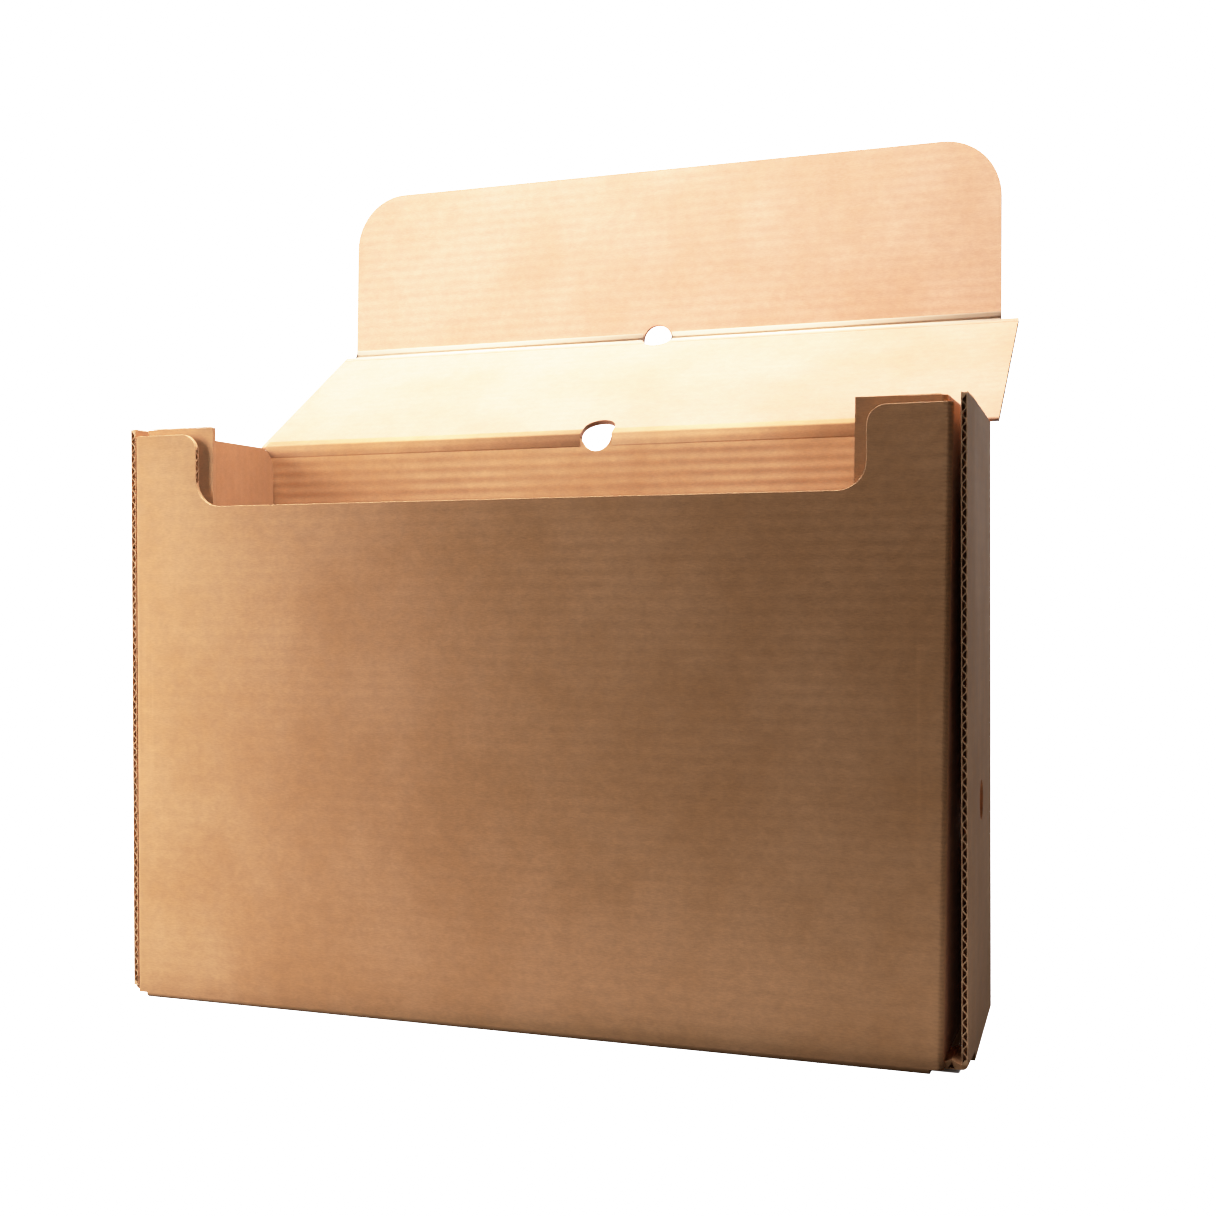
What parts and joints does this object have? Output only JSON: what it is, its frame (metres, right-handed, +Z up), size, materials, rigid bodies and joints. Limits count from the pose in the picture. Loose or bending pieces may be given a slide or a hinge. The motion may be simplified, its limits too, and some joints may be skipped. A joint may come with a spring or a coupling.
{
  "type": "archive box",
  "caption": "Upright folded corrugated board archive box with a hinged lid, a rounded tuck flap, a cut-out front, double end walls and thumb holes on the folds.",
  "frame": {"origin": "on the floor plane, under the middle of the closed box's footprint", "axes": "+Z up, -Y out of the front panel with the cut-out, +X towards the end wall with the finger hole"},
  "size_m": [0.45, 0.2471, 0.492],
  "materials": {
    "kraft_board": "uncoated brown kraft liner, matt, with faint flute lines",
    "kraft_board_lid": "uncoated brown kraft liner, matt, with faint flute lines",
    "kraft_board_tuck": "uncoated brown kraft liner, matt, with faint flute lines"
  },
  "bodies": {
    "carton": {"carton_body": "kraft_board"},
    "lid": {"lid_panel": "kraft_board_lid"},
    "tuck": {"tuck_flap": "kraft_board_tuck"}
  },
  "joints": [
    {"name": "lid_fold", "type": "hinge", "parent": "carton", "child": "lid", "pos_m": [0, 0.0661, 0.3117], "axis": [-1, 0, 0], "range_deg": [-145.5, 78]},
    {"name": "tuck_fold", "type": "hinge", "parent": "lid", "child": "tuck", "pos_m": [0, 0.17433, 0.38199], "axis": [1, 0, 0], "range_deg": [-55, 36.5]}
  ]
}
